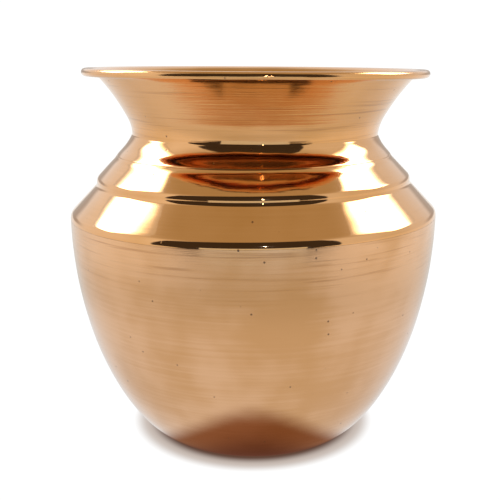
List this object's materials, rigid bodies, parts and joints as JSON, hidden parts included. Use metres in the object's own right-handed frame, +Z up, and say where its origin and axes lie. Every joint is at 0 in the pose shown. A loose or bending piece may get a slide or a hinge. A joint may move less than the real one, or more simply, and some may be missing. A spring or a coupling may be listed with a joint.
{
  "type": "kalash pot",
  "caption": "Round-bellied metal water pot with a stepped shoulder, a narrow neck and a flared, wire-stiffened mouth, for holding and pouring water.",
  "frame": {"origin": "centre of the flat base, on the surface the pot stands on", "axes": "+Z up along the pot's axis; +X and +Y are any two level directions, since the pot is turned about +Z"},
  "size_m": [0.1142, 0.1142, 0.1149],
  "materials": {
    "bowl_metal": "reddish, satin, with fine level polishing lines",
    "shell_metal": "reddish, mirror polish on the shoulder and fine polishing lines on the neck",
    "wire_metal": "plain drawn wire",
    "braze_metal": "as cast, dull yellow"
  },
  "bodies": {
    "root": {"lower_bowl": "bowl_metal", "upper_shell": "shell_metal", "rim_wire": "wire_metal", "seam_braze": "braze_metal"}
  },
  "joints": []
}
